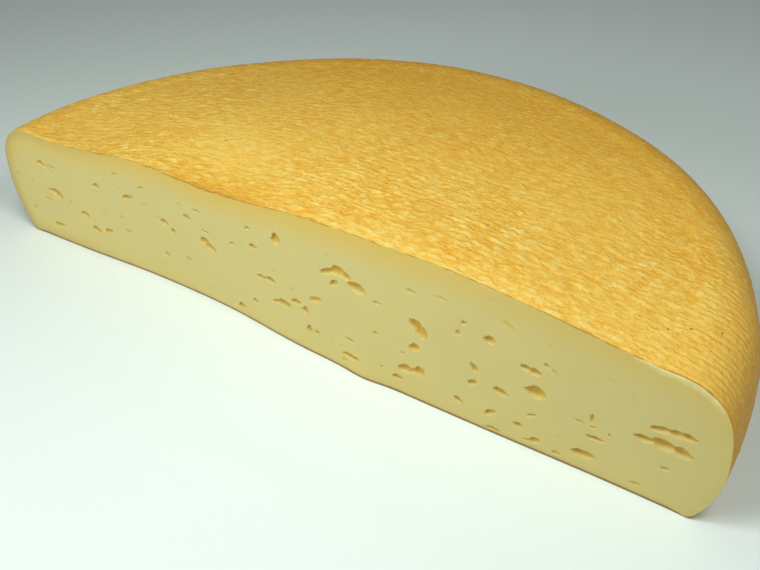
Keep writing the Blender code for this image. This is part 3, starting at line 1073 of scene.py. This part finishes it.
def ramp(tree, value, stops):
    """A colour that runs through the stops, each a place and a colour."""
    node = tree.nodes.new("ShaderNodeValToRGB")
    tree.links.new(value, node.inputs["Fac"])
    elements = node.color_ramp.elements
    while len(elements) < len(stops):
        elements.new(0.5)
    for element, (place, colour) in zip(elements, stops):
        element.position = place
        element.color = (*colour, 1.0)
    return node.outputs["Color"]


def mix(tree, factor, first, second, kind="MIX"):
    """From the first colour to the second. Each of the three is a socket or a constant."""
    node = tree.nodes.new("ShaderNodeMix")
    node.data_type = "RGBA"
    node.blend_type = kind
    for value, socket in ((factor, node.inputs[0]), (first, node.inputs[6]), (second, node.inputs[7])):
        if isinstance(value, bpy.types.NodeSocket):
            tree.links.new(value, socket)
        elif isinstance(value, tuple):
            socket.default_value = (*value, 1.0)
        else:
            socket.default_value = value
    return node.outputs[2]


def ranged(tree, value, low, high, to_low=0.0, to_high=1.0):
    """The value from low to high, as one from to_low to to_high."""
    node = tree.nodes.new("ShaderNodeMapRange")
    tree.links.new(value, node.inputs["Value"])
    for name, number in (("From Min", low), ("From Max", high), ("To Min", to_low), ("To Max", to_high)):
        node.inputs[name].default_value = number
    return node.outputs["Result"]


def ranged_place(tree, axis, span, to_low=0.0, to_high=1.0):
    """The same for the place along an axis of the frame, over a span in millimetres."""
    parts = tree.nodes.new("ShaderNodeSeparateXYZ")
    tree.links.new(object_place(tree), parts.inputs["Vector"])
    low, high = span
    return ranged(tree, parts.outputs[axis], low * MM, high * MM, to_low, to_high)


def math_node(tree, operation, first, second):
    """The second is a socket or a constant."""
    node = tree.nodes.new("ShaderNodeMath")
    node.operation = operation
    tree.links.new(first, node.inputs[0])
    if isinstance(second, bpy.types.NodeSocket):
        tree.links.new(second, node.inputs[1])
    else:
        node.inputs[1].default_value = second
    return node.outputs["Value"]


def distance(tree, spot):
    """How far a place on the surface is from this spot, which is in millimetres from the axis."""
    node = tree.nodes.new("ShaderNodeVectorMath")
    node.operation = "DISTANCE"
    tree.links.new(object_place(tree), node.inputs[0])
    node.inputs[1].default_value = (spot + WHEEL_AXIS) * MM
    return node.outputs["Value"]


def bump(tree, shader, height, depth, after=None):
    """Relief of this depth in millimetres, on top of what came before."""
    node = tree.nodes.new("ShaderNodeBump")
    node.inputs["Distance"].default_value = depth * MM
    node.inputs["Strength"].default_value = 1.0
    tree.links.new(height, node.inputs["Height"])
    if after is not None:
        tree.links.new(after, node.inputs["Normal"])
    tree.links.new(node.outputs["Normal"], shader.inputs["Normal"])
    return node.outputs["Normal"]


def cut_colour(tree):
    """Colour of the cut paste: ochre towards the rind, painted shade along its far left edge, and paler on
    a torn lip.
    """
    rim = attribute(tree, "rim")
    colour = mix(tree, noise_node(tree, PASTE_CLOUD), PASTE_WARM, PASTE_COOL)
    upper = ranged_place(tree, "Z", OCHRE_HEIGHT, 0.25, 1.0)
    near_rim = math_node(tree, "MULTIPLY", ranged(tree, rim, *OCHRE_RIM), upper)
    right = ranged_place(tree, "X", OCHRE_RIGHT, 1.0, 0.62)
    near_rim = math_node(tree, "MULTIPLY", near_rim, right)
    colour = mix(tree, near_rim, colour, PASTE_RIM)
    # painted shade where the left edge of the cut turns away from the light
    left = ranged_place(tree, "X", TURNED_SHADE_LEFT)
    turned_shade = math_node(tree, "MULTIPLY", ranged(tree, rim, *TURNED_SHADE_RIM), left)
    colour = mix(tree, turned_shade, colour, PASTE_TURNED_SHADE)
    ragged = ranged(tree, noise_node(tree, LIP_SHRED, 3.0), 0.0, 1.0, -0.5, 0.5)
    torn = ranged(tree, math_node(tree, "ADD", attribute(tree, "lip"), ragged), 0.25, 0.95, 0.0, 0.85)
    return mix(tree, torn, colour, PASTE_LIP)


def groove_lines(tree):
    """Thin broken grooves between the rows of the cloth, from 0 to 1."""
    ragged = ranged(tree, noise_node(tree, GROOVE_WANDER), 0.0, 1.0, -0.35, 0.35)
    across = math_node(tree, "ADD", attribute(tree, "across"), ragged)
    from_groove = math_node(tree, "PINGPONG", across, 0.5)
    line = ranged(tree, from_groove, 0.02, 0.2, 1.0, 0.0)
    broken = ranged(tree, noise_node(tree, GROOVE_GAP), 0.42, 0.6)
    strength = math_node(tree, "MULTIPLY", broken, attribute(tree, "marked"))
    return math_node(tree, "MULTIPLY", line, strength)


def rind_colour(tree, fine, grooves):
    """Colour of the rind alone: its pigment, its patches, the cloth's grooves and a few specks, with
    painted shade towards the back of the top and down the side.
    """
    colour = ramp(tree, attribute(tree, "pigment"), RIND_STOPS)
    # painted shade towards the back of the top
    colour = mix(tree, ranged_place(tree, "Y", FAR_SHADE_SPAN), colour, RIND_FAR_SHADE, "MULTIPLY")
    # painted shade down the side
    colour = mix(tree, ranged_place(tree, "Z", SIDE_SHADE_SPAN), colour, RIND_SIDE_SHADE, "MULTIPLY")
    patches = ranged(tree, noise_node(tree, RIND_CLOUD, 3.0), 0.42, 0.68, 0.0, 0.4)
    colour = mix(tree, patches, colour, RIND_PATCH, "MULTIPLY")
    colour = mix(tree, ranged(tree, fine, 0.52, 0.72, 0.0, 0.4), colour, RIND_PALE)
    colour = mix(tree, ranged(tree, fine, 0.46, 0.3, 0.0, 0.4), colour, RIND_GROOVE)
    colour = mix(tree, ranged(tree, grooves, 0.0, 1.0, 0.0, 0.7), colour, RIND_GROOVE)
    far, near = SPECK_RIM
    for x, y in SPECKS:
        spot, _ = rind_point(x, y, 0.5)
        speck = ranged(tree, distance(tree, spot), far * MM, near * MM, 0.0, 0.7)
        colour = mix(tree, speck, colour, SPECK)
    return colour


def rind_material():
    """The rind and the rim of the cut, with the dark line between them."""
    made, tree, shader = new_material("rind")
    fine = noise_node(tree, RIND_GRAIN, 3.0)
    grooves = groove_lines(tree)
    cut = ranged(tree, attribute(tree, "cut"), 0.4, 0.6)
    colour = mix(tree, cut, rind_colour(tree, fine, grooves), cut_colour(tree))
    line = attribute(tree, "line")
    # the line on the cut's edge, along the base partly painted contact shadow
    colour = mix(tree, ranged(tree, line, 0.15, 0.9, 0.0, 0.9), colour, RIND_LINE)
    colour = mix(tree, ranged(tree, line, 1.9, 2.7, 0.0, 0.8), colour, SPECK)
    tree.links.new(colour, shader.inputs["Base Color"])
    roughness = ranged(tree, noise_node(tree, GLOSS_CLOUD), 0.3, 0.7, 0.5, 0.68)
    tree.links.new(roughness, shader.inputs["Roughness"])
    shader.inputs["Specular IOR Level"].default_value = 0.35
    pressed = bump(tree, shader, ranged(tree, grooves, 0.0, 1.0, 1.0, 0.0), GROOVE_DEPTH)
    bump(tree, shader, fine, RIND_GRAIN_DEPTH, after=pressed)
    return made


def paste_material():
    """The paste, soft and a little waxy, with the eyes more ochre, partly as painted shade."""
    made, tree, shader = new_material("paste")
    blotched = ranged(tree, noise_node(tree, EYE_BLOTCH), 0.25, 0.75, 0.65, 1.3)
    hollow = math_node(tree, "MULTIPLY", blotched, attribute(tree, "hollow"))
    # the eyes' ochre, partly painted shade
    colour = mix(tree, ranged(tree, hollow, 0.0, 0.5), cut_colour(tree), EYE_PALE)
    colour = mix(tree, ranged(tree, hollow, 0.4, 0.95), colour, EYE_DEEP)
    tree.links.new(colour, shader.inputs["Base Color"])
    shader.inputs["Roughness"].default_value = 0.55
    shader.inputs["Subsurface Weight"].default_value = 0.7
    shader.inputs["Subsurface Radius"].default_value = (1.0, 0.75, 0.4)
    shader.inputs["Subsurface Scale"].default_value = PASTE_GLOW * MM
    bump(tree, shader, noise_node(tree, PASTE_GRAIN, 3.0), PASTE_GRAIN_DEPTH)
    return made


# ---- stage, light and camera
CAMERA_AZIMUTH = 0.6244  # to the right of -Y, in radians
CAMERA_ELEVATION = 0.6274
CAMERA_ROLL = -0.0294
CAMERA_DISTANCE = 436.2
CAMERA_TARGET = Vector((1.5, 48.0, 0.0))  # from the wheel's axis
FOCAL_PIXELS = 1074.8
PHOTO_WIDTH = 760
SENSOR_WIDTH = 36.0
NEAREST_SEEN = 0.01  # in metres, as are the floor and the lights
FLOOR_REACH = 4.0
FLOOR_ROUGHNESS = 0.6
FLOOR_COLOUR = (0.73, 0.79, 0.79, 1.0)
LIGHT_COLOUR = (0.94, 1.0, 0.94)
WORLD_STRENGTH = 0.15
LIGHT_AIM = (0.0, 0.0, 0.02)
LIGHTS = (  # name, place, size and power
    ("over_right", (0.3, -0.15, 0.45), 0.2, 1.08),
    ("over_front", (0.0, -0.2, 0.35), 0.15, 0.74),
    ("low_front", (-0.2, -0.5, 0.25), 0.2, 1.19),
)


def make_camera():
    away = Vector(
        (
            sin(CAMERA_AZIMUTH) * cos(CAMERA_ELEVATION),
            -cos(CAMERA_AZIMUTH) * cos(CAMERA_ELEVATION),
            sin(CAMERA_ELEVATION),
        )
    )
    right = (-away).cross(Vector((0, 0, 1))).normalized()
    up = right.cross(-away)
    rolled_right = cos(CAMERA_ROLL) * right + sin(CAMERA_ROLL) * up
    rolled_up = cos(CAMERA_ROLL) * up - sin(CAMERA_ROLL) * right
    data = bpy.data.cameras.new("camera")
    data.sensor_width = SENSOR_WIDTH
    data.lens = SENSOR_WIDTH * FOCAL_PIXELS / PHOTO_WIDTH
    data.clip_start = NEAREST_SEEN
    camera = bpy.data.objects.new("camera", data)
    place = (CAMERA_TARGET + WHEEL_AXIS + away * CAMERA_DISTANCE) * MM
    turn = Matrix((rolled_right, rolled_up, away)).transposed().to_4x4()
    camera.matrix_world = Matrix.Translation(place) @ turn
    bpy.context.scene.collection.objects.link(camera)
    bpy.context.scene.camera = camera


def area_light(name, place, size, power):
    data = bpy.data.lights.new(name, "AREA")
    data.shape = "DISK"
    data.size = size
    data.energy = power
    data.color = LIGHT_COLOUR
    light = bpy.data.objects.new(name, data)
    light.location = place
    light.visible_camera = False
    light.rotation_euler = (Vector(place) - Vector(LIGHT_AIM)).to_track_quat("Z", "Y").to_euler()
    bpy.context.scene.collection.objects.link(light)


def make_floor():
    mesh = bpy.data.meshes.new("floor")
    corners = [(x * FLOOR_REACH, y * FLOOR_REACH, 0) for x, y in ((-1, -1), (1, -1), (1, 1), (-1, 1))]
    mesh.from_pydata(corners, [], [(0, 1, 2, 3)])
    made, _, shader = new_material("floor")
    shader.inputs["Base Color"].default_value = FLOOR_COLOUR
    shader.inputs["Roughness"].default_value = FLOOR_ROUGHNESS
    mesh.materials.append(made)
    floor_object = bpy.data.objects.new("floor", mesh)
    bpy.context.scene.collection.objects.link(floor_object)


def make_light():
    world = bpy.data.worlds.new("world")
    world.use_nodes = True
    background = world.node_tree.nodes["Background"]
    background.inputs["Color"].default_value = (*LIGHT_COLOUR, 1.0)
    background.inputs["Strength"].default_value = WORLD_STRENGTH
    bpy.context.scene.world = world
    for light in LIGHTS:
        area_light(*light)


bpy.context.scene.view_settings.view_transform = "Standard"
make_camera()
make_floor()
make_light()
body = make_body(rind_material())
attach(body, BODY)
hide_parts(NODE)
paste = make_paste(paste_material())
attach(paste, BODY)
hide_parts(NODE)
